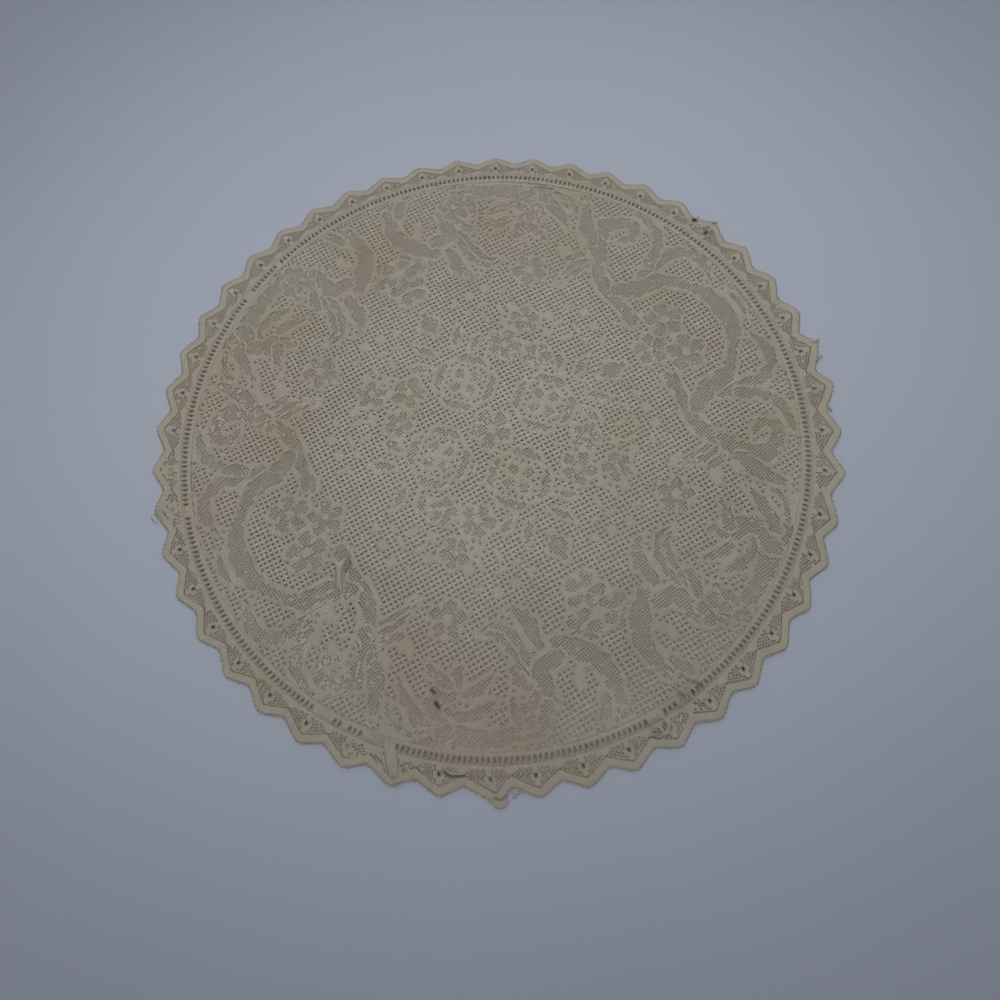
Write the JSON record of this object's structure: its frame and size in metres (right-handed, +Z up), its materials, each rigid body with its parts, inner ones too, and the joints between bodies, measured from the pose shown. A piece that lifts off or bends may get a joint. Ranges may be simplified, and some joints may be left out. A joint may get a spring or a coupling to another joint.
{
  "type": "lace doily",
  "caption": "Round cotton lace doily: a net ground worked with flowers and scrolls, with a sewn-on edging of small points, ladder holes and eyelets.",
  "frame": {"origin": "middle of the doily's underside, on the surface that it lies on", "axes": "+Z up out of the upper side, +X and +Y in the plane of the cloth"},
  "size_m": [0.3026, 0.2989, 0.0025],
  "materials": {
    "ground_cotton": "matt unbleached cotton lace thread, soft and slightly stained",
    "edging_cotton": "matt unbleached cotton lace thread with a picot edge"
  },
  "bodies": {
    "root": {"lace_ground": "ground_cotton", "lace_edging": "edging_cotton"}
  },
  "joints": []
}
